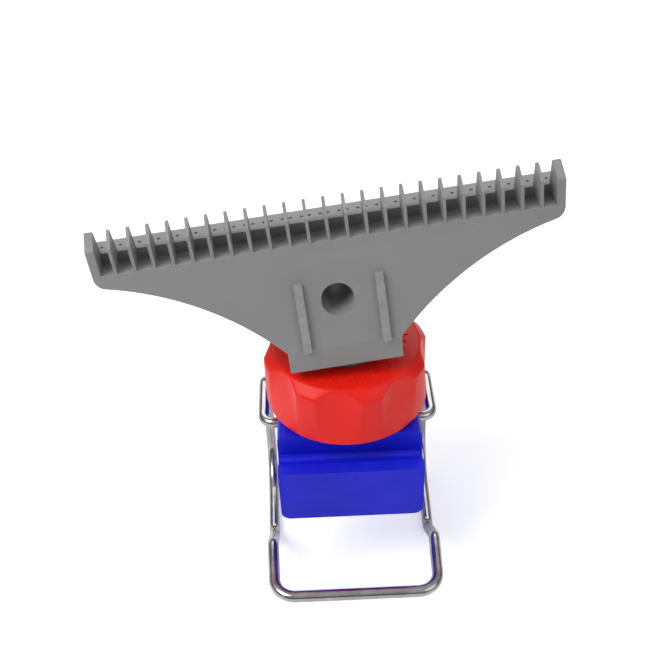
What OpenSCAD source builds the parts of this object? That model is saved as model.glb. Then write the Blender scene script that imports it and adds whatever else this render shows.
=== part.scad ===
// Clamp-on flat-jet air nozzle: a pipe saddle with a wire bail, a swivel ball under a
// screw cap, and a wide comb nozzle screwed into the ball.
// Origin: on the pipe axis, midway along the saddle. +X runs along the pipe, +Z is up,
// and -Y is the front, where the wire bail is gripped.

/* [Pipe] */
// Outside diameter of the pipe that the saddle fits
pipe_d = 33.7; // [26:0.1:34.5]
// Radial room between the pipe and the saddle
pipe_clearance = 0.15; // [0.05:0.05:0.4]

/* [Clamp body] */
// Length of the body along the pipe
body_w = 38; // [32:0.5:46]
// Depth of the body across the pipe
body_d = 48; // [46:0.5:56]
// Depth of the narrow upper block above the two ledges
neck_d = 34; // [30:0.5:38]
// Height of the feet above the pipe axis
foot_z = 4.5; // [2:0.25:6]
// Height of the wire ledges above the pipe axis
ledge_z = 22; // [20.5:0.25:23]
// Height of the deck that the cap runs above
deck_z = 29; // [28:0.25:31]
// Radius of the moulded corners
body_corner_r = 2.6; // [1:0.1:3.5]
// Radius of the wire groove behind each ledge lip
groove_r = 1.8; // [1.6:0.1:2.2]

/* [Inlet spigot] */
// Outside diameter of the spigot's free end, which enters the pipe
spigot_d = 12; // [10.5:0.25:12.5]
// Outside diameter of the spigot's root inside the seal
spigot_root_d = 14; // [13:0.25:15]
// How far the spigot reaches below the saddle crown
spigot_reach = 8; // [6:0.25:9]
// Length of the spigot's free end below its root
spigot_free = 3.9; // [2.5:0.1:4.5]
// Diameter of the air way through the body
airway_d = 9; // [6:0.5:9.5]
// Outside diameter of the saddle seal
seal_d = 22; // [19:0.5:23]
// Thickness of the saddle seal at its crown
seal_t = 2.5; // [2:0.1:3]
// How far the seal stands out of the saddle before it is squeezed
seal_proud = 0.3; // [0.1:0.05:0.5]
// Room around the seal in its pocket
seal_fit = 0.1; // [0.05:0.01:0.2]

/* [Wire bail] */
// Diameter of the spring wire
wire_d = 3; // [2.5:0.1:3.2]
// Radial running clearance of the wire end in its pivot hole
pivot_clearance = 0.06; // [0.02:0.01:0.1]
// How far each wire end reaches into the body
pivot_depth = 7; // [4:0.5:9]
// Distance of the pivot in front of the pipe axis
pivot_y = 5; // [3:0.5:7]
// Height of the pivot above the pipe axis
pivot_z = 22.3; // [21.5:0.1:24]
// Side gap between the body and the wire where it leaves the pivot
bail_gap = 2.6; // [1.5:0.1:4]
// Side gap between the body and the wire at the front crosspiece
crosspiece_gap = 0.2; // [0.15:0.05:1]
// Reach of the crosspiece in front of the pipe axis
bail_reach = 46.5; // [42:0.5:50]
// Height of the gripping loop above the pipe axis
loop_z = 1.7; // [0:0.1:4]
// Length of the flat gripping loop
loop_len = 17; // [14:0.5:20]
// Extra half width of the loop at its inner end
loop_splay = 0.8; // [0.4:0.1:1.5]
// Gap between the pipe and the wire behind it
pipe_room = 0.5; // [0.2:0.1:1.5]
// Extra half width of the wire behind the pipe
bail_splay = 0.5; // [0:0.1:0.8]
// How much the wire's foot is drawn in on each side
foot_nip = 0.3; // [0:0.1:0.6]
// Fall of the wire from its pivot to the back
back_fall = 2.5; // [0:0.25:4]
// How far the wire's foot reaches in front of the pipe axis
foot_reach = 10.5; // [9:0.5:12]
// Bend radius where the wire leaves its pivot
pivot_bend = 3.2; // [2.5:0.1:3.5]
// Bend radius behind the pipe
back_bend = 8; // [6:0.5:10]
// Bend radius below the pipe, at the back
foot_bend = 13; // [10:0.5:15]
// Bend radius below the pipe, at the front
rise_bend = 7; // [4:0.5:9]
// Bend radius where the wire turns into the loop
loop_bend = 4; // [3:0.5:5]
// Bend radius of the loop's front corners
corner_bend = 5.5; // [4:0.5:7]

/* [Screw cap] */
// Diameter over the lands of the cap
cap_d = 43.5; // [43:0.25:48]
// Height of the cap
cap_h = 16.8; // [16:0.1:17]
// Height of the vertical flank below the top chamfer
cap_flank_h = 14.4; // [13:0.1:15]
// Width of the top chamfer
cap_chamfer = 2.4; // [1:0.1:3]
// Number of finger scallops
scallops = 8; // [6:1:10]
// Angle that one scallop spans
scallop_span = 30; // [20:1:32]
// Radius of a scallop at the cap's top
scallop_r = 12; // [9:0.5:20]
// Turn of the scallops about the cap axis
scallop_turn = -7.5; // [-20:0.5:20]
// Diameter of the threaded collar that carries the cap
collar_d = 34.8; // [33:0.2:36]
// Radial running clearance of the cap on the collar
cap_clearance = 0.08; // [0.02:0.01:0.1]
// Gap under the cap when it is tight
cap_gap = 0.5; // [0.3:0.1:1]
// Height of the collar's top above the cap's lower edge
collar_h = 12.4; // [11.5:0.1:12.5]
// Gap between the collar's top and the cap's ceiling
ceiling_gap = 0.5; // [0.3:0.1:0.6]

/* [Swivel ball] */
// Diameter of the ball
ball_d = 24; // [22:0.2:24.4]
// Height of the ball centre above the cap's lower edge
ball_rise = 8.5; // [8:0.1:9]
// Gap between the ball and the sockets around it
ball_gap = 0.3; // [0.1:0.05:0.5]
// How much of the ball is cut flat at its bottom
ball_flat = 1; // [0.5:0.1:2]
// Diameter of the ball's neck
neck_ring_d = 17.2; // [16.4:0.2:17.6]
// Diameter of the cap's opening around the neck
cap_opening_d = 20.4; // [20:0.1:21]
// Section diameter of the seal ring under the ball
ring_t = 2.6; // [2:0.1:3]
// Angle below the ball centre where the seal ring touches
ring_angle = 45; // [40:1:50]
// Room around the seal ring in its groove
ring_gap = 0.12; // [0.05:0.01:0.2]

/* [Nozzle pose at rest] */
// Direction that the nozzle leans towards, turned from the back towards the left
lean_turn = 52; // [-180:1:180]
// Lean of the nozzle from upright
lean = 6.5; // [0:0.25:8]
// Turn of the nozzle about its own stem
nozzle_turn = -48; // [-180:1:180]

/* [Nozzle] */
// Distance between neighbouring fins
fin_pitch = 4.55; // [4:0.05:5]
// Number of gaps between the fins
fin_gaps = 24; // [16:1:26]
// Thickness of a fin
fin_t = 0.75; // [0.6:0.05:1.2]
// Thickness of each end plate
end_t = 2; // [1.2:0.1:3]
// Height of the block's underside above the ball centre
block_z = 11.5; // [11.2:0.1:13]
// Height of the block
block_h = 6; // [5:0.25:8]
// Width of the block
block_w = 28; // [26:0.5:30]
// Depth of the block
block_d = 31; // [28:0.5:32]
// Height of the nozzle's shoulder above the ball centre
shoulder_z = 43; // [40:0.25:46]
// Distance of the shoulder's front edge from the jets
shoulder_front = 9; // [8:0.25:10]
// Distance of the shoulder's back edge from the jets
shoulder_back = 5.2; // [4.6:0.1:7]
// Radius of the lower corner of each wing tip
tip_r = 3; // [1:0.25:4]
// Radius of the concave flare under each wing
flare_r = 76; // [60:1:90]
// Drop of each wing tip below the shoulder
wing_drop = 2.6; // [1.5:0.1:4]
// Depth of the bar that carries the jets
jet_bar_d = 6.4; // [5:0.1:8]
// Height of the jet bar above the shoulder
jet_bar_h = 2.8; // [2:0.1:4]
// Diameter of one air jet
jet_d = 0.9; // [0.6:0.05:1.2]
// Distance of a jet from the middle of its fin
jet_offset = 0.95; // [0.9:0.05:1.2]
// Height of a fin's front edge above the shoulder
fin_edge_h = 6.6; // [4:0.1:8]
// Height of a fin's tip above the shoulder
fin_tip_h = 9.4; // [7:0.1:11]
// Distance of a fin's tip behind its front edge
fin_tip_back = 4.2; // [3:0.1:5]
// Depth of a fin's flat tip
fin_tip_d = 0.5; // [0.3:0.1:1]
// Distance of a fin's back edge in front of the jets, where it meets the jet bar
fin_root_y = 2.4; // [1.5:0.1:2.8]
// Wall of the hollow nozzle
nozzle_wall = 2.2; // [1.8:0.1:2.8]
// Thickness of the rear cover at the shoulder
cover_t = 3.6; // [3:0.1:3.8]
// Height and thickness of the cover's locating lip
lip_t = 1.2; // [0.8:0.1:1.5]
// Gap between the cover's locating lip and the walls around it
cover_fit = 0.1; // [0.05:0.01:0.2]
// Diameter of the hole through the nozzle
hole_d = 8; // [6:0.1:9]
// Height of that hole above the ball centre
hole_z = 29; // [27:0.25:31]
// Width of the two raised ribs
rib_w = 2; // [1:0.1:3]
// How far the ribs stand out
rib_proud = 1.1; // [0.5:0.1:2]
// Distance of the left rib from the middle
rib_left = 9; // [8:0.1:12]
// Distance of the right rib from the middle
rib_right = 10.4; // [8:0.1:12]
// Height of the ribs' upper ends above the ball centre
rib_top_z = 34.3; // [32:0.1:36]
// Diameter of the nozzle's threaded stem
stem_d = 13; // [12:0.1:13.4]
// Radial clearance of the stem in the ball
stem_clearance = 0.05; // [0.02:0.01:0.1]
// How far the stem reaches below the ball centre
stem_reach = 1.5; // [0:0.25:3]

// Width of the channel that feeds the jets
gallery_w = 1.8; // [1.2:0.1:2.2]
// Height of that channel
gallery_h = 2; // [1:0.1:2.2]
// Length of that channel's opening to the plenum
gallery_feed = 70; // [50:5:85]

/* [Hidden] */
$fn = 96;
eps = 0.02;
over = 1;

saddle_r = pipe_d / 2 + pipe_clearance;
cap_z = deck_z + cap_gap;
ball_z = cap_z + ball_rise;
ball_r = ball_d / 2;
socket_r = ball_r + ball_gap;
collar_top = cap_z + collar_h;
cap_ceiling = collar_h + ceiling_gap;
cap_wall_r = collar_d / 2 + cap_clearance;
wire_r = wire_d / 2;
ring_r = ring_t / 2;
ring_dist = ball_r + ring_r + ring_gap;
seal_top = saddle_r + seal_t;
comb_w = fin_gaps * fin_pitch + end_t;
block_top = block_z + block_h;
jet_face_z = shoulder_z + jet_bar_h;
split_y = shoulder_back - cover_t;
plenum_top = shoulder_z - nozzle_wall;
gallery_top = shoulder_z + jet_bar_h - nozzle_wall;
airway_r = airway_d / 2;

// ---- outlines ----

// A rectangle with round corners, centred on the axis and standing on z0
module round_rect(w, z0, z1, r) {
    translate([-w / 2 + r, z0]) square([w - 2 * r, z1 - z0]);
    translate([-w / 2, z0 + r]) square([w, z1 - z0 - 2 * r]);
    for (x = [-w / 2 + r, w / 2 - r], z = [z0 + r, z1 - r]) translate([x, z]) circle(r);
}

// An outline drawn in X and Z, stretched along Y
module along_y(y0, y1) {
    translate([0, y1, 0]) rotate([90, 0, 0]) linear_extrude(y1 - y0) children();
}

// An outline drawn in Y and Z, stretched along X
module along_x(w) {
    translate([-w / 2, 0, 0]) rotate([90, 0, 90]) linear_extrude(w) children();
}

// ---- clamp body ----

module saddle_cut() {
    along_x(body_w + 2 * over) circle(saddle_r, $fn = 128);
}

module ball_cavity() {
    translate([0, 0, ball_z]) {
        sphere(socket_r);
        cylinder(r = socket_r + 0.1, h = ball_z);
    }
}

// Ring groove and airway below the ball
module ring_section(grow) {
    rotate_extrude()
        translate([ring_dist * cos(ring_angle), -ring_dist * sin(ring_angle)])
            circle(ring_r + grow, $fn = 48);
}

// The spigot from a height z0 up into the body: a free end and a thicker root
module spigot_outside(z0) {
    root_z = saddle_r - spigot_reach + spigot_free;
    translate([0, 0, z0]) cylinder(d = spigot_d, h = root_z - z0 + eps);
    translate([0, 0, root_z]) cylinder(d = spigot_root_d, h = seal_top + over - root_z);
}

module clamp_body() {
    color("mediumblue") difference() {
        union() {
            intersection() {
                along_y(-body_d / 2, body_d / 2)
                    round_rect(body_w, foot_z, deck_z, body_corner_r);
                along_x(body_w) union() {
                    translate([-body_d / 2, foot_z]) square([body_d, ledge_z - foot_z]);
                    translate([-neck_d / 2, foot_z]) square([neck_d, deck_z - foot_z]);
                }
            }
            translate([0, 0, ledge_z]) cylinder(d = collar_d, h = collar_top - ledge_z);
        }
        difference() {
            saddle_cut();
            spigot_outside(saddle_r - spigot_reach);
        }
        for (side = [-1, 1])
            translate([0, side * (neck_d / 2 + groove_r), 0]) along_x(body_w + 2 * over)
                translate([0, ledge_z + groove_r * 0.4]) circle(groove_r, $fn = 48);
        difference() {
            cylinder(d = seal_d, h = seal_top);
            spigot_outside(saddle_r - spigot_reach);
        }
        cylinder(d = airway_d, h = ball_z);
        ball_cavity();
        translate([0, 0, ball_z]) ring_section(ring_gap);
        for (side = [-1, 1])
            translate([side * (body_w / 2 - pivot_depth - 0.5), -pivot_y, pivot_z])
                rotate([0, side * 90, 0])
                    cylinder(r = wire_r + pivot_clearance, h = pivot_depth + 0.5 + over);
    }
}

module saddle_seal() {
    color("dimgray") difference() {
        cylinder(d = seal_d - 2 * seal_fit, h = seal_top);
        cylinder(d = spigot_root_d + 2 * seal_fit, h = seal_top + over);
        along_x(seal_d) circle(saddle_r - seal_proud, $fn = 128);
    }
}

// ---- wire bail ----

// Centre line of the right half: side, front-back, height, and the bend radius there
bail_x0 = body_w / 2 + bail_gap + wire_r;
bail_x1 = body_w / 2 + crosspiece_gap + wire_r;
back_y = saddle_r + wire_r + pipe_room;
bail_low = -(saddle_r + wire_r);
pin_overlap = 0.5;
bail_start = bail_x0 - pivot_bend - pin_overlap;
bail_points = [
    [bail_start, -pivot_y, pivot_z, 0],
    [bail_x0, -pivot_y, pivot_z, pivot_bend],
    [bail_x0 + bail_splay, back_y, pivot_z - back_fall, back_bend],
    [bail_x0 + bail_splay, back_y, bail_low, foot_bend],
    [bail_x0 - foot_nip, -foot_reach, bail_low, rise_bend],
    [bail_x1 + loop_splay, loop_len - bail_reach, loop_z, loop_bend],
    [bail_x1, -bail_reach, loop_z, corner_bend],
    [0, -bail_reach, loop_z, 0]
];
wire_sides = 16;
bend_step = 14;

function pos(i) = [bail_points[i][0], bail_points[i][1], bail_points[i][2]];
function unit(v) = v / norm(v);
function heading(i) = unit(pos(i + 1) - pos(i));

// Points along the bend at corner i, from its first tangent point to its last
function bend(i) =
    let (a = heading(i - 1), b = heading(i), turn = acos(a * b), r = bail_points[i][3],
         start = pos(i) - a * r * tan(turn / 2), inward = unit(b - (a * b) * a),
         n = ceil(turn / bend_step))
    [for (k = [0:n]) start + r * (sin(turn * k / n) * a + (1 - cos(turn * k / n)) * inward)];

bail_right = [
    pos(0),
    for (i = [1:len(bail_points) - 2]) each bend(i)
];
// The line runs from the left pivot, round the crosspiece, to the right pivot
bail_route = [
    for (p = bail_right) [-p[0], p[1], p[2]],
    for (i = [len(bail_right) - 1:-1:0]) bail_right[i]
];

// A round tube along a list of points, with one ring of corners at each point
module tube(route, r, sides) {
    last = len(route) - 1;
    ways = [for (i = [0:last]) unit(route[min(i + 1, last)] - route[max(i - 1, 0)])];
    // Each ring's first direction is the one before it, turned square to the new heading
    first = unit(cross(ways[0], [0, 0, 1]));
    sideways = [for (i = 0, v = first; i <= last;
                     i = i + 1, v = unit(v - (v * ways[min(i, last)]) * ways[min(i, last)])) v];
    rings = [for (i = [0:last], k = [0:sides - 1])
        let (v = unit(sideways[i] - (sideways[i] * ways[i]) * ways[i]), w = cross(ways[i], v),
             t = 360 * k / sides)
        route[i] + r * (cos(t) * v + sin(t) * w)];
    polyhedron(rings, concat(
        [[for (k = [0:sides - 1]) k]],
        [for (i = [0:last - 1], k = [0:sides - 1])
            [i * sides + k, (i + 1) * sides + k,
             (i + 1) * sides + (k + 1) % sides, i * sides + (k + 1) % sides]],
        [[for (k = [sides - 1:-1:0]) last * sides + k]]));
}

module wire_bail() {
    color("silver") {
        tube(bail_route, wire_r - eps, wire_sides);
        for (side = [-1, 1])
            translate([side * (body_w / 2 - pivot_depth), -pivot_y, pivot_z])
                rotate([0, side * 90, 0])
                    cylinder(r = wire_r, h = pivot_depth + bail_gap + wire_r - pivot_bend);
    }
}

// ---- screw cap ----

module ball_seal_ring() {
    color("black") translate([0, 0, ball_z]) ring_section(0);
}

// Distance from the axis of a scallop's full depth at an angle from its middle
scallop_x = cap_d / 2 * cos(scallop_span / 2)
            + sqrt(pow(scallop_r, 2) - pow(cap_d / 2 * sin(scallop_span / 2), 2));
function scallop_at(a) = scallop_x * cos(a) - sqrt(pow(scallop_r, 2) - pow(scallop_x * sin(a), 2));

// One scallop: straight creases, nothing at the cap's lower edge and full depth at its top
module scallop_cut() {
    steps = 12;
    rim = cap_d / 2 + eps;
    angles = [for (k = [0:steps]) (k / steps - 0.5) * (scallop_span + 2)];
    ring = len(angles) + 2;
    points = [for (z = [-over, cap_h + over]) each concat(
        [for (a = angles) let (r = rim + (scallop_at(a) - rim) * z / cap_h) [r * cos(a), r * sin(a), z]],
        [for (a = [angles[steps], angles[0]]) let (r = rim + 3) [r * cos(a), r * sin(a), z]])];
    polyhedron(points, concat(
        [[for (k = [ring - 1:-1:0]) k], [for (k = [0:ring - 1]) ring + k]],
        [for (k = [0:ring - 1]) [ring + (k + 1) % ring, ring + k, k]],
        [for (k = [0:ring - 1]) [ring + (k + 1) % ring, k, (k + 1) % ring]]));
}

module screw_cap() {
    color("red") translate([0, 0, cap_z]) difference() {
        union() {
            cylinder(d = cap_d, h = cap_flank_h);
            translate([0, 0, cap_flank_h])
                cylinder(d1 = cap_d, d2 = cap_d - 2 * cap_chamfer, h = cap_h - cap_flank_h);
        }
        for (i = [0:scallops - 1])
            rotate([0, 0, scallop_turn + 270 + i * 360 / scallops])
                scallop_cut();
        translate([0, 0, -over]) cylinder(r = cap_wall_r, h = cap_ceiling + over);
        translate([0, 0, ball_rise]) sphere(socket_r);
        translate([0, 0, ball_rise]) cylinder(d = cap_opening_d, h = cap_h);
    }
}

// ---- swivel ball and nozzle, in the ball's own frame ----

module posed() {
    translate([0, 0, ball_z]) rotate([0, 0, lean_turn]) rotate([-lean, 0, 0])
        rotate([0, 0, nozzle_turn]) children();
}

module swivel_ball() {
    color("gray") posed() difference() {
        union() {
            sphere(ball_r);
            cylinder(d = neck_ring_d, h = block_z - ball_gap);
        }
        translate([0, 0, -stem_reach - 1]) cylinder(r = stem_d / 2 + stem_clearance, h = ball_d);
        translate([0, 0, -ball_d]) cylinder(d = airway_d, h = 2 * ball_d);
        translate([0, 0, -ball_r - ball_d + ball_flat]) cube(2 * ball_d, center = true);
    }
}

// The wing's flare is a round cut through the block's corner and the wing's tip
wing_x = comb_w / 2;
wing_z = shoulder_z - wing_drop;
flare_run = [wing_x - block_w / 2, wing_z - block_top];
flare_off = sqrt(pow(flare_r, 2) - pow(norm(flare_run) / 2, 2)) / norm(flare_run);
flare_x = block_w / 2 + flare_run[0] / 2 + flare_run[1] * flare_off;
flare_z = block_top + flare_run[1] / 2 - flare_run[0] * flare_off;

// Where the round tip touches the flare
tip_turn = asin((flare_x - wing_x + tip_r) / (flare_r + tip_r));
tip_z = flare_z + (flare_r + tip_r) * cos(tip_turn);

// The nozzle's front outline above its block, pulled in by an inset
module wing_outline(inset, z0) {
    top = shoulder_z - inset;
    half_w = wing_x - tip_r + max(tip_r - inset, 0) * sin(tip_turn);
    difference() {
        intersection() {
            translate([-comb_w, z0]) square([2 * comb_w, top - z0]);
            union() {
                translate([-half_w, z0 - over]) square([2 * half_w, top - z0 + 2 * over]);
                translate([-wing_x + inset, tip_z]) square([2 * (wing_x - inset), shoulder_z]);
                if (tip_r > inset)
                    for (side = [-1, 1]) translate([side * (wing_x - tip_r), tip_z]) circle(tip_r - inset);
            }
        }
        for (side = [-1, 1]) translate([side * flare_x, flare_z])
            circle(flare_r + inset, $fn = 256);
    }
}

// The outline of the wings and the block together
module nozzle_outline() {
    wing_outline(0, block_top);
    translate([-block_w / 2, block_z]) square([block_w, block_h + eps]);
}

// The nozzle's side outline, moved forward by a distance
module side_outline(forward) {
    translate([-forward, 0])
        polygon([[-block_d / 2, block_z], [block_d / 2, block_z], [block_d / 2, block_top],
                 [shoulder_back, shoulder_z], [-shoulder_front, shoulder_z], [-block_d / 2, block_top]]);
}

module nozzle_solid() {
    intersection() {
        along_y(-block_d / 2, block_d / 2) nozzle_outline();
        along_x(comb_w) side_outline(0);
    }
}

// The space of the rear cover: behind the joint plane and above the block
module cover_space() {
    translate([-comb_w, split_y, block_top]) cube([2 * comb_w, block_d, shoulder_z]);
}

// The fin's outline: an upright front edge, a slope up to the tip, and back down to the jet bar
module fin_outline() {
    tip_y = -shoulder_front + fin_tip_back;
    polygon([[-shoulder_front, shoulder_z - eps], [-shoulder_front, shoulder_z + fin_edge_h],
             [tip_y, shoulder_z + fin_tip_h], [tip_y + fin_tip_d, shoulder_z + fin_tip_h],
             [-fin_root_y, jet_face_z - eps], [-fin_root_y, shoulder_z - eps]]);
}

module plenum() {
    along_y(-shoulder_front + nozzle_wall, split_y + eps) difference() {
        wing_outline(nozzle_wall, block_top + nozzle_wall);
        translate([0, hole_z]) circle(hole_d / 2 + nozzle_wall);
    }
}

// A channel under all the jets, open to the plenum along its middle
module gallery() {
    reach = wing_x - end_t / 2 - jet_offset + jet_d;
    translate([-reach, -gallery_w / 2, gallery_top - gallery_h])
        cube([2 * reach, gallery_w, gallery_h]);
    translate([-gallery_feed / 2, -gallery_w / 2, plenum_top - over])
        cube([gallery_feed, gallery_w, gallery_top - plenum_top]);
}

// The air way up the stem into the plenum
module stem_airway() {
    translate([0, 0, -stem_reach - over])
        cylinder(d = airway_d - 1, h = block_top + 2 * nozzle_wall + stem_reach + over);
}

module turning_hole() {
    translate([0, 0, hole_z]) rotate([90, 0, 0]) cylinder(d = hole_d, h = 2 * block_d, center = true);
}

module nozzle_body() {
    color("darkgray") posed() difference() {
        union() {
            difference() {
                nozzle_solid();
                cover_space();
            }
            translate([-comb_w / 2, -jet_bar_d / 2, shoulder_z - eps])
                cube([comb_w, jet_bar_d / 2 + split_y, jet_bar_h + eps]);
            translate([-comb_w / 2, -jet_bar_d / 2, shoulder_z])
                cube([comb_w, jet_bar_d, jet_bar_h]);
            for (i = [1:fin_gaps - 1])
                translate([(i - fin_gaps / 2) * fin_pitch, 0, 0]) along_x(fin_t) fin_outline();
            for (side = [-1, 1])
                translate([side * (comb_w - end_t) / 2, 0, 0]) along_x(end_t) fin_outline();
            for (x = [-rib_left, rib_right])
                intersection() {
                    translate([x - rib_w / 2, -block_d, block_top])
                        cube([rib_w, block_d, rib_top_z - block_top]);
                    along_x(comb_w) side_outline(rib_proud);
                }
            translate([0, 0, -stem_reach]) cylinder(d = stem_d, h = block_z + stem_reach + eps);
        }
        plenum();
        gallery();
        stem_airway();
        turning_hole();
        for (i = [0:fin_gaps - 1], side = [0, 1])
            translate([(i + side - fin_gaps / 2) * fin_pitch + (1 - 2 * side) * jet_offset, 0,
                       gallery_top - eps])
                cylinder(d = jet_d, h = jet_face_z - gallery_top + over, $fn = 16);
    }
}

module nozzle_rear_cover() {
    lip = nozzle_wall + cover_fit;
    color("darkgray") posed() difference() {
        union() {
            intersection() {
                nozzle_solid();
                cover_space();
            }
            along_y(split_y - lip_t, split_y + eps) difference() {
                wing_outline(lip, block_top + lip);
                wing_outline(lip + lip_t, block_top + lip + lip_t);
            }
        }
        stem_airway();
        turning_hole();
    }
}

clamp_body();
saddle_seal();
wire_bail();
ball_seal_ring();
screw_cap();
swivel_ball();
nozzle_body();
nozzle_rear_cover();
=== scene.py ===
import math
import bmesh
import bpy
from mathutils import Matrix, Vector


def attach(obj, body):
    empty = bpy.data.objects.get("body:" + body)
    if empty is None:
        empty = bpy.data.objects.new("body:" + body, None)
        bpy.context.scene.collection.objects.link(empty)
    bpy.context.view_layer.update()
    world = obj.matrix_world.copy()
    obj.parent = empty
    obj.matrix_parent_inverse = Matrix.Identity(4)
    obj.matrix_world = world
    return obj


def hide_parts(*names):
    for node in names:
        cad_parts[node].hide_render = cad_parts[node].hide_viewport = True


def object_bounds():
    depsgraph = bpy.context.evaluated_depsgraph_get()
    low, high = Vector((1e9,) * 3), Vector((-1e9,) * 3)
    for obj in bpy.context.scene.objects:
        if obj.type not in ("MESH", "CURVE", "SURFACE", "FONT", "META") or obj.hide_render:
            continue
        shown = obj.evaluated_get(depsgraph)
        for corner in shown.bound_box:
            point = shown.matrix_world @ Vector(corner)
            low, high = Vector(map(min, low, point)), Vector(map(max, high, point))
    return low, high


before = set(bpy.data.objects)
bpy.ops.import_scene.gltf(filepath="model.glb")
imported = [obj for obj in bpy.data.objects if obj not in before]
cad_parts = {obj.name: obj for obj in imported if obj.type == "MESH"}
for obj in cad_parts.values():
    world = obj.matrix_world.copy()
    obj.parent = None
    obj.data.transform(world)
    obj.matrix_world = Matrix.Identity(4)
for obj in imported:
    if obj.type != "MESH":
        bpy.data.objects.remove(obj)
CAD_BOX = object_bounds()
MM = 0.001

# ---- camera: the photograph's view, in the frame's own axes ----

EYE = Vector((-5.1, -180.8, 197.1)) * MM
IMAGE_RIGHT = Vector((0.999, -0.0279, -0.0347))
IMAGE_DOWN = Vector((-0.0445, -0.6260, -0.7785))


def make_camera():
    data = bpy.data.cameras.new("camera")
    data.sensor_width = 36
    data.lens = 36 * 900 / 650
    data.clip_start = 0.01
    cam = bpy.data.objects.new("camera", data)
    x = IMAGE_RIGHT.normalized()
    z = x.cross(-IMAGE_DOWN).normalized()
    y = z.cross(x)
    cam.matrix_world = Matrix.Translation(EYE) @ Matrix((x, y, z)).transposed().to_4x4()
    bpy.context.collection.objects.link(cam)
    bpy.context.scene.camera = cam


# ---- materials ----

def srgb(r, g, b):
    lin = [c / 255 / 12.92 if c / 255 <= 0.04045 else ((c / 255 + 0.055) / 1.055) ** 2.4
           for c in (r, g, b)]
    return (*lin, 1.0)


class Nodes:
    """A small helper that adds and wires the nodes of one material."""

    def __init__(self, name):
        self.mat = bpy.data.materials.new(name)
        self.mat.use_nodes = True
        self.tree = self.mat.node_tree
        self.shader = self.tree.nodes["Principled BSDF"]
        self.coords = self.add("ShaderNodeTexCoord").outputs["Object"]

    def add(self, kind, **inputs):
        node = self.tree.nodes.new(kind)
        for name, value in inputs.items():
            self.put(node.inputs[name.replace("_", " ")], value)
        return node

    def put(self, socket, value):
        if hasattr(value, "is_linked"):
            self.tree.links.new(value, socket)
        else:
            socket.default_value = value

    def set(self, **inputs):
        for name, value in inputs.items():
            self.put(self.shader.inputs[name.replace("_", " ")], value)

    def noise(self, scale, detail=3, rough=0.5, vector=None, stretch=None):
        vector = vector or self.coords
        if stretch:
            vector = self.add("ShaderNodeMapping", Vector=vector, Scale=stretch).outputs[0]
        return self.add("ShaderNodeTexNoise", Vector=vector, Scale=scale, Detail=detail,
                        Roughness=rough).outputs["Fac"]

    def ramp(self, fac, stops):
        node = self.add("ShaderNodeValToRGB", Fac=fac)
        points = node.color_ramp.elements
        while len(points) < len(stops):
            points.new(0.5)
        for point, (at, color) in zip(points, stops):
            point.position = at
            point.color = color if hasattr(color, "__len__") else (color, color, color, 1)
        return node.outputs["Color"]

    def mix(self, fac, a, b, how="MIX"):
        node = self.tree.nodes.new("ShaderNodeMix")
        node.data_type = "RGBA"
        node.blend_type = how
        self.put(node.inputs[0], fac)
        self.put(node.inputs[6], a)
        self.put(node.inputs[7], b)
        return node.outputs[2]

    def math(self, how, a, b=0.5):
        node = self.tree.nodes.new("ShaderNodeMath")
        node.operation = how
        self.put(node.inputs[0], a)
        self.put(node.inputs[1], b)
        return node.outputs[0]

    def bump(self, height, strength, depth, normal=None):
        node = self.add("ShaderNodeBump", Height=height, Strength=strength, Distance=depth)
        if normal:
            self.put(node.inputs["Normal"], normal)
        return node.outputs[0]

    def edges(self, low, high):
        point = self.add("ShaderNodeNewGeometry").outputs["Pointiness"]
        return self.ramp(point, [(low, 0.0), (high, 1.0)])


def moulded(name, color, pale_tint_and_highlight, deep, rough, grain, scatter, specular):
    """Moulded plastic: cloudy pigment, faint flow lines, fine specks, and a painted highlight on
    convex edges, broken up by wear noise.
    """
    n = Nodes(name)
    cloud = n.noise(38, 4, 0.55)
    flow = n.noise(60, 3, 0.6, stretch=(0.35, 1.0, 2.6))
    speck = n.noise(2600, 2, 0.6)
    base = n.mix(n.ramp(cloud, [(0.35, 0.0), (0.68, 1.0)]), deep, color)
    base = n.mix(n.math("MULTIPLY", n.ramp(flow, [(0.5, 0.0), (0.8, 1.0)]), 0.04), base, pale_tint_and_highlight)
    base = n.mix(n.math("MULTIPLY", n.ramp(speck, [(0.60, 0.0), (0.78, 1.0)]), 0.07), base, pale_tint_and_highlight)
    # Painted edge highlight, partly wear: convex edges (pointiness) are lightened towards the pale
    # colour, broken up by noise.
    edge_highlight_and_wear = n.math("MULTIPLY", n.edges(0.54, 0.62),
                  n.ramp(n.noise(420, 4), [(0.35, 0.2), (0.65, 1.0)]))
    base = n.mix(n.math("MULTIPLY", edge_highlight_and_wear, 0.15), base, pale_tint_and_highlight)
    rub = n.noise(170, 5, 0.62)
    fine = n.noise(5200, 2, 0.5)
    scratch = n.noise(900, 2, 0.4, stretch=(0.06, 1.0, 0.5))
    height = n.bump(fine, grain, 0.00004)
    height = n.bump(scratch, 0.12, 0.00003, height)
    height = n.bump(flow, 0.03, 0.0001, height)
    n.set(Base_Color=base, Normal=height,
          Roughness=n.math("ADD", n.math("MULTIPLY", rub, 0.14), rough - 0.07))
    n.shader.inputs["Specular IOR Level"].default_value = specular
    if scatter:
        n.shader.inputs["Subsurface Weight"].default_value = scatter
        n.shader.inputs["Subsurface Radius"].default_value = (0.9, 0.35, 0.25)
        n.shader.inputs["Subsurface Scale"].default_value = 0.0012
    return n.mat


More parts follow.
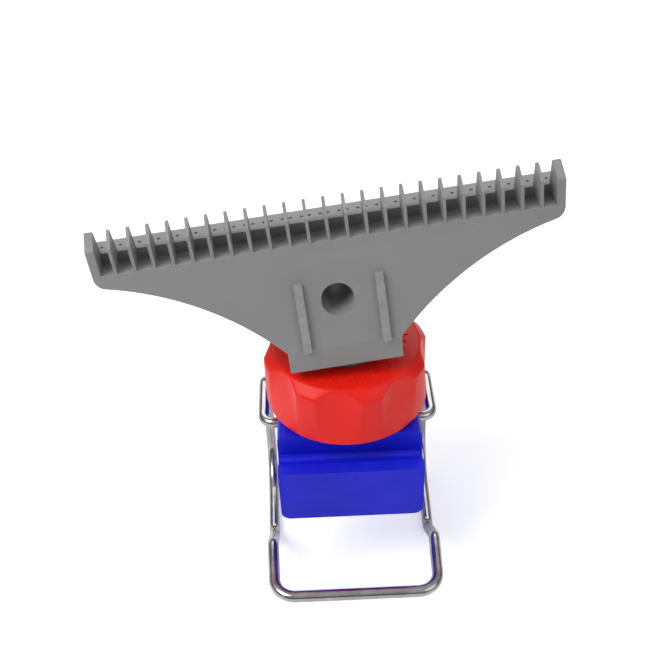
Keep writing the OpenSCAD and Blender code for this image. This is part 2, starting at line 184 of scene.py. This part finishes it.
def drawn_wire():
    """Bright drawn stainless wire: lines along its length, dull patches, a few dark scuffs."""
    n = Nodes("stainless_wire")
    uv = n.add("ShaderNodeTexCoord").outputs["UV"]
    lines = n.noise(1, 3, 0.7, vector=uv, stretch=(46.0, 60.0, 1.0))
    patch = n.noise(260, 4, 0.6)
    scuff = n.noise(640, 4, 0.7, stretch=(1.0, 1.0, 2.2))
    base = n.mix(n.ramp(patch, [(0.3, 0.0), (0.7, 1.0)]),
                 srgb(172, 167, 165), srgb(202, 198, 195))
    scuffed = n.math("MULTIPLY", n.ramp(scuff, [(0.62, 0.0), (0.74, 1.0)]), 0.6)
    base = n.mix(scuffed, base, srgb(78, 68, 66))
    n.set(Base_Color=base, Metallic=1.0,
          Normal=n.bump(lines, 0.22, 0.00006),
          Roughness=n.math("ADD", n.math("MULTIPLY", lines, 0.16),
                           n.math("MULTIPLY", patch, 0.20)))
    return n.mat


def black_rubber():
    n = Nodes("seal_rubber")
    bloom = n.noise(320, 5, 0.6)
    base = n.mix(n.ramp(bloom, [(0.4, 0.0), (0.75, 1.0)]), srgb(22, 22, 23), srgb(52, 52, 54))
    n.set(Base_Color=base, Normal=n.bump(n.noise(3800, 3), 0.4, 0.00005),
          Roughness=n.math("ADD", n.math("MULTIPLY", bloom, 0.2), 0.6))
    return n.mat


def table_paper():
    n = Nodes("white_table")
    n.set(Base_Color=n.mix(n.noise(9, 3), srgb(250, 250, 251), srgb(255, 255, 255)),
          Normal=n.bump(n.noise(900, 3), 0.05, 0.0001), Roughness=0.75)
    seen = n.add("ShaderNodeLightPath").outputs["Is Camera Ray"]
    n.set(Emission_Color=srgb(252, 252, 255), Emission_Strength=n.math("MULTIPLY", seen, 0.42))
    return n.mat


# The second colour of each plastic is the pale tint of its flow lines and specks, and also its
# painted edge highlight.
RED = moulded("red_nylon", srgb(252, 36, 20), srgb(255, 104, 88), srgb(244, 26, 14),
              rough=0.38, grain=0.12, scatter=0.12, specular=0.32)
BLUE = moulded("blue_nylon", srgb(22, 34, 226), srgb(92, 104, 240), srgb(16, 26, 210),
               rough=0.42, grain=0.14, scatter=0.10, specular=0.28)
GREY = moulded("grey_nylon", srgb(147, 147, 146), srgb(222, 220, 212), srgb(142, 142, 142),
               rough=0.46, grain=0.16, scatter=0.0, specular=0.4)
WIRE = drawn_wire()
RUBBER = black_rubber()


# ---- pieces ----

def add_piece(name, mesh, mat, body, node=None):
    obj = bpy.data.objects.new(name, mesh)
    bpy.context.collection.objects.link(obj)
    mesh.materials.clear()
    mesh.materials.append(mat)
    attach(obj, body)
    if node:
        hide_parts(node)
    return obj


def smooth(mesh, angle=32):
    mesh.shade_smooth()
    mesh.set_sharp_from_angle(angle=math.radians(angle))


def softened(name, node, mat, body, width, crease=32, merge=True):
    """The CAD node's own shape, with its edges rounded in mm as a mould leaves them.

    Edges sharper than crease stay creased; merge joins the CAD's flat triangles into one face.
    """
    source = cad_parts[node]
    bm = bmesh.new()
    bm.from_mesh(source.data)
    bm.transform(source.matrix_world)
    bmesh.ops.remove_doubles(bm, verts=bm.verts, dist=1e-6)
    if merge:
        bmesh.ops.dissolve_limit(bm, angle_limit=math.radians(0.6), verts=bm.verts, edges=bm.edges)
    mesh = bpy.data.meshes.new(name)
    bm.to_mesh(mesh)
    bm.free()
    obj = add_piece(name, mesh, mat, body, node)
    bevel = obj.modifiers.new("round", "BEVEL")
    bevel.width = width * MM
    bevel.segments = 2
    bevel.limit_method = "ANGLE"
    bevel.angle_limit = math.radians(28)
    bevel.miter_outer = "MITER_ARC"
    bevel.harden_normals = False
    bevel.use_clamp_overlap = True
    smooth(mesh, crease)
    tidy = obj.modifiers.new("weigh", "WEIGHTED_NORMAL")
    tidy.keep_sharp = True
    return obj


# ---- sizes that the CAD model gives, in mm ----

BALL_Z = 38.0
CAP_Z, CAP_H, CAP_FLANK, CAP_CHAMFER, CAP_R = 29.5, 16.8, 14.4, 2.4, 21.75
CAP_BORE_R, CAP_CEILING, CAP_MOUTH_R, SOCKET_R = 17.48, 12.9, 10.2, 12.3
SCALLOPS, SCALLOP_R, SCALLOP_HALF, SCALLOP_TURN = 8, 12.0, 15.0, 262.5
LEAN_TURN, LEAN, NOZZLE_TURN = 52.0, 6.5, -48.0
BLOCK_TOP, BLOCK_HALF, SHOULDER_Z, SHOULDER_FRONT = 17.5, 15.5, 43.0, 9.0
NECK_FRONT, BODY_FRONT, LEDGE_Z = -17.0, -24.0, 22.0
WIRE_R = 1.47


def grid_mesh(name, rings, closed_ends=False, uv=None):
    """A mesh of quads from a list of equally long rings of points in mm."""
    n = len(rings[0])
    verts = [tuple(c * MM for c in p) for ring in rings for p in ring]
    rows = len(rings) if closed_ends == "loop" else len(rings) - 1
    faces = [(i * n + k, i * n + (k + 1) % n,
              (i + 1) % len(rings) * n + (k + 1) % n, (i + 1) % len(rings) * n + k)
             for i in range(rows) for k in range(n)]
    if closed_ends is True:
        faces += [tuple(range(n))[::-1], tuple(range((len(rings) - 1) * n, len(rings) * n))]
    mesh = bpy.data.meshes.new(name)
    mesh.from_pydata(verts, [], faces)
    if uv:
        layer = mesh.uv_layers.new(name="along")
        for poly in mesh.polygons:
            around = [mesh.loops[i].vertex_index % n for i in poly.loop_indices]
            wraps = 0 in around and n - 1 in around and len(around) == 4
            for i, k in zip(poly.loop_indices, around):
                row = mesh.loops[i].vertex_index // n
                layer.data[i].uv = ((k if not (wraps and k == 0) else n) / n, uv[row])
    bm = bmesh.new()
    bm.from_mesh(mesh)
    bmesh.ops.recalc_face_normals(bm, faces=bm.faces)
    bm.to_mesh(mesh)
    bm.free()
    mesh.shade_smooth()
    return mesh


def soft_min(a, b, k):
    low = min(a, b)
    return low - k * math.log(math.exp((low - a) / k) + math.exp((low - b) / k))


# ---- screw cap ----

def cap_radius(deg, z):
    """The outline's radius in a direction: scallops fade out from the cap's top to its lower edge."""
    step = 360 / SCALLOPS
    off = (deg - SCALLOP_TURN + step / 2) % step - step / 2
    half = math.radians(SCALLOP_HALF)
    centre = CAP_R * math.cos(half) + math.sqrt(SCALLOP_R ** 2 - (CAP_R * math.sin(half)) ** 2)
    inside = SCALLOP_R ** 2 - (centre * math.sin(math.radians(off))) ** 2
    if inside <= 0:
        return CAP_R
    full = centre * math.cos(math.radians(off)) - math.sqrt(inside)
    rim, part = CAP_R + 0.02, z / CAP_H
    return soft_min(CAP_R, rim + (full - rim) * part, 0.015 + 0.085 * part)


def cap_mesh():
    top, around = CAP_H, 720
    heights = [0.0, 0.05, 0.15, 0.35, 0.6, 1.0, 2, 4, 6, 8] + [8 + 0.25 * i for i in range(1, 32)]
    rings = []

    def ring(radius_of, z):
        rings.append([(radius_of(k) * math.cos(math.radians(k * 360 / around)),
                       radius_of(k) * math.sin(math.radians(k * 360 / around)), CAP_Z + z)
                      for k in range(around)])

    for z in heights + [15.95, 16.15, 16.3, 16.42, 16.52, 16.6]:
        cone = CAP_R + CAP_FLANK - z
        edge = 0.35 * (1 - min(1, z / 0.35)) ** 2
        ring(lambda k: soft_min(cap_radius(k * 360 / around, z), cone, 0.12) - edge, z)
    rim = CAP_R - CAP_CHAMFER
    for fall, z in ((0.10, 16.68), (0.28, 16.75), (0.55, 16.79), (0.9, 16.8), (2.0, 16.8)):
        ring(lambda k: soft_min(cap_radius(k * 360 / around, z), rim, 0.12) - fall, z)
    mouth = [(16.2, top), (13.5, top), (CAP_MOUTH_R + 0.5, top), (CAP_MOUTH_R + 0.2, top - 0.08),
             (CAP_MOUTH_R, top - 0.35), (CAP_MOUTH_R, 15.37)]
    socket = [(math.sqrt(SOCKET_R ** 2 - d * d), 8.5 + d) for d in (6.3, 5.6, 5.0, 4.4)]
    inside = [(CAP_BORE_R - 1, CAP_CEILING), (CAP_BORE_R, CAP_CEILING), (CAP_BORE_R, 8),
              (CAP_BORE_R, 0.4), (CAP_BORE_R + 0.3, 0.0)]
    for r, z in mouth + socket + inside:
        ring(lambda k: r, z)
    return grid_mesh("cap_shell", rings, closed_ends="loop")


def cap_marks():
    """Generic raised ticks round the cap's top, in groups of one long and two short."""
    bm = bmesh.new()
    for i in range(36):
        long_one = i % 3 == 0
        place = (Matrix.Rotation(math.radians(i * 10 + 5), 4, "Z")
                 @ Matrix.Translation((15.5, 0, CAP_Z + CAP_H + 0.08)))
        size = (2.2 if long_one else 0.9, 0.42, 0.34)
        bmesh.ops.create_cube(bm, size=1, matrix=place @ Matrix.Diagonal((*size, 1)))
    bmesh.ops.scale(bm, vec=(MM, MM, MM), verts=bm.verts)
    bmesh.ops.bevel(bm, geom=list(bm.edges), offset=0.09 * MM, segments=2,
                    affect="EDGES", profile=0.5)
    mesh = bpy.data.meshes.new("cap_ticks")
    bm.to_mesh(mesh)
    bm.free()
    mesh.shade_smooth()
    return mesh


cap = add_piece("cap_shell", cap_mesh(), RED, "cap", "screw_cap")
smooth(cap.data, 40)
add_piece("cap_ticks", cap_marks(), RED, "cap")


# ---- wire bail ----

# Half of the bail's centre line: x, y, z in mm and the bend radius there
BAIL = [(19.4, -5, 22.3, 0), (23.1, -5, 22.3, 3.2), (23.6, 18.85, 19.8, 8), (23.6, 18.85, -18.5, 13),
        (22.8, -10.5, -18.5, 7), (21.5, -29.5, 1.7, 4), (20.7, -46.5, 1.7, 5.5), (0, -46.5, 1.7, 0)]


def rounded_route(corners, step=3.0):
    """Points along a route of straight legs and round bends, with a bend every step degrees."""
    at = [Vector(c[:3]) for c in corners]
    route = [at[0]]
    for i in range(1, len(at) - 1):
        a, b = (at[i] - at[i - 1]).normalized(), (at[i + 1] - at[i]).normalized()
        turn, r = a.angle(b), corners[i][3]
        start = at[i] - a * r * math.tan(turn / 2)
        inward = (b - a * a.dot(b)).normalized()
        count = math.ceil(math.degrees(turn) / step)
        for k in range(count + 1):
            t = turn * k / count
            route.append(start + a * r * math.sin(t) + inward * r * (1 - math.cos(t)))
    return route + [at[-1]]


def swept(name, route, radius, sides=28):
    ways = [(route[min(i + 1, len(route) - 1)] - route[max(i - 1, 0)]).normalized()
            for i in range(len(route))]
    side = ways[0].cross(Vector((0, 0, 1))).normalized()
    rings, travel = [], [0.0]
    for i, (p, w) in enumerate(zip(route, ways)):
        side = (side - w * side.dot(w)).normalized()
        up = w.cross(side)
        r = radius * (0.82 if i in (0, len(route) - 1) else 1.0)
        turns = [2 * math.pi * k / sides for k in range(sides)]
        rings.append([p + side * r * math.cos(t) + up * r * math.sin(t) for t in turns])
        if i:
            travel.append(travel[-1] + (p - route[i - 1]).length * MM)
    return grid_mesh(name, rings, closed_ends=True, uv=travel)


right = [Vector((12.0, -5, 22.3)), Vector((12.25, -5, 22.3))] + rounded_route(BAIL)[:-1]
route = [Vector((-p.x, p.y, p.z)) for p in right] + right[::-1]
wire = add_piece("bail_wire", swept("bail_wire", route, WIRE_R),
                 WIRE, "bail", "wire_bail")
smooth(wire.data, 50)


# ---- clamp body ----

softened("clamp_shell", "clamp_body", BLUE, "clamp", 0.32)


def ridge(name, points, width, height, lift):
    """A fine raised line along points in mm; lift is the way out of the surface at each one."""
    rings = []
    for (x, y, z), (_, ly, lz) in zip(points, lift):
        out = Vector((0, ly, lz)).normalized()
        base = Vector((x, y, z)) - out * 0.15
        rings.append([base + Vector((-width / 2, 0, 0)), base + Vector((width / 2, 0, 0)),
                      base + Vector((width / 6, 0, 0)) + out * (height + 0.15),
                      base + Vector((-width / 6, 0, 0)) + out * (height + 0.15)])
    return grid_mesh(name, rings, closed_ends=True)


def gate_ring(name, centre, normal, radius, thick):
    """The small rough ring that a sheared moulding gate leaves."""
    centre, normal = Vector(centre), Vector(normal).normalized()
    u = normal.orthogonal().normalized()
    v = normal.cross(u)
    rings = []
    for i in range(36):
        t = 2 * math.pi * i / 36
        wob = 1 + 0.14 * math.sin(3 * t + 0.7) + 0.08 * math.sin(7 * t)
        out = u * math.cos(t) + v * math.sin(t)
        mid = centre + out * radius * wob
        fat = thick * (1 + 0.35 * math.sin(2 * t + 1.9))
        rings.append([mid + out * fat * math.cos(a) + normal * fat * 0.7 * math.sin(a)
                      for a in (2 * math.pi * k / 10 for k in range(10))])
    return grid_mesh(name, rings, closed_ends="loop")


seam = [((1.0, NECK_FRONT, 28.0), (0, -1, 0)), ((1.0, NECK_FRONT, 25.0), (0, -1, 0)),
        ((1.0, NECK_FRONT - 0.02, 24.45), (0, -1, 0.02))]
ledge_seam = [((1.0, -20.7, LEDGE_Z), (0, 0, 1)), ((1.0, -22.2, LEDGE_Z), (0, 0, 1)),
              ((1.0, -23.5, LEDGE_Z), (0, 0, 1))]
for name, line in (("neck_seam", seam), ("ledge_seam", ledge_seam)):
    add_piece(name, ridge(name, [p for p, _ in line], 0.34, 0.07, [o for _, o in line]),
              BLUE, "clamp")
add_piece("body_gate", gate_ring("body_gate", (0.9, BODY_FRONT, 19.4), (0, -1, 0), 0.5, 0.13),
          BLUE, "clamp")


# ---- ball and seals ----

softened("ball_shell", "swivel_ball", GREY, "ball", 0.25)
softened("o_ring", "ball_seal_ring", RUBBER, "seat", 0.02)
softened("saddle_gasket", "saddle_seal", RUBBER, "clamp", 0.2)


# ---- nozzle ----

softened("nozzle_shell", "nozzle_body", GREY, "nozzle", 0.08,
         crease=9, merge=False)
softened("nozzle_back", "nozzle_rear_cover", GREY, "nozzle", 0.18,
         crease=9, merge=False)

# From the nozzle's own axes to the frame's
POSE = (Matrix.Translation((0, 0, BALL_Z)) @ Matrix.Rotation(math.radians(LEAN_TURN), 4, "Z")
        @ Matrix.Rotation(math.radians(-LEAN), 4, "X")
        @ Matrix.Rotation(math.radians(NOZZLE_TURN), 4, "Z"))


def on_front(x, z):
    """A point on the nozzle's sloping front face, and the face's outward direction."""
    slope = (BLOCK_HALF - SHOULDER_FRONT) / (SHOULDER_Z - BLOCK_TOP)
    y = -(BLOCK_HALF - (z - BLOCK_TOP) * slope)
    return POSE @ Vector((x, y, z)), POSE.to_3x3() @ Vector((0, -1, slope))


for name, x, z in (("left_gate", -46, 41), ("right_gate", 35, 39.8)):
    spot, out = on_front(x, z)
    add_piece(name, gate_ring(name, spot, out, 0.42, 0.08), GREY, "nozzle")


# ---- floor, light and camera ----

def make_floor():
    mesh = bpy.data.meshes.new("table")
    low, half = CAD_BOX[0][2], 4.0
    mesh.from_pydata([(-half, -half, low), (half, -half, low), (half, half, low), (-half, half, low)],
                     [], [(0, 1, 2, 3)])
    floor = bpy.data.objects.new("table", mesh)
    floor.data.materials.append(table_paper())
    bpy.context.collection.objects.link(floor)


def area_light(name, place, aim, size, power, color=(1, 1, 1)):
    data = bpy.data.lights.new(name, "AREA")
    data.shape = "RECTANGLE"
    data.size, data.size_y = size
    data.energy = power
    data.color = color
    lamp = bpy.data.objects.new(name, data)
    lamp.location = place
    lamp.rotation_euler = (Vector(aim) - Vector(place)).to_track_quat("-Z", "Y").to_euler()
    bpy.context.collection.objects.link(lamp)


def make_world():
    world = bpy.data.worlds.new("studio")
    bpy.context.scene.world = world
    world.use_nodes = True
    tree = world.node_tree
    back = tree.nodes["Background"]
    coord = tree.nodes.new("ShaderNodeTexCoord")
    split = tree.nodes.new("ShaderNodeSeparateXYZ")
    ramp = tree.nodes.new("ShaderNodeValToRGB")
    stops = [(0.0, 0.26), (0.5, 0.05), (0.60, 0.10), (0.78, 0.40), (1.0, 0.52)]
    while len(ramp.color_ramp.elements) < len(stops):
        ramp.color_ramp.elements.new(0.5)
    for point, (at, level) in zip(ramp.color_ramp.elements, stops):
        point.position = at
        point.color = (level, level, level * 1.02, 1)
    shift = tree.nodes.new("ShaderNodeMath")
    shift.operation = "MULTIPLY_ADD"
    shift.inputs[1].default_value = 0.5
    shift.inputs[2].default_value = 0.5
    path = tree.nodes.new("ShaderNodeLightPath")
    mix = tree.nodes.new("ShaderNodeMix")
    mix.data_type = "RGBA"
    mix.inputs[7].default_value = (1.0, 1.0, 1.0, 1)
    tree.links.new(coord.outputs["Generated"], split.inputs[0])
    tree.links.new(split.outputs["Z"], shift.inputs[0])
    tree.links.new(shift.outputs[0], ramp.inputs[0])
    tree.links.new(path.outputs["Is Camera Ray"], mix.inputs[0])
    tree.links.new(ramp.outputs[0], mix.inputs[6])
    tree.links.new(mix.outputs[2], back.inputs["Color"])
    back.inputs["Strength"].default_value = 1.0


make_camera()
make_floor()
make_world()
area_light("key", (-0.55, -0.25, 0.75), (0, 0, 0.03), (0.5, 0.5), 4.9)
area_light("fill", (0.7, -0.5, 0.6), (0, 0, 0.03), (0.7, 0.7), 1.4)
area_light("back", (0.0, 0.8, 0.6), (0, 0, 0.04), (0.9, 0.5), 2.2)
bpy.context.scene.view_settings.view_transform = "Standard"
bpy.context.scene.view_settings.look = "None"
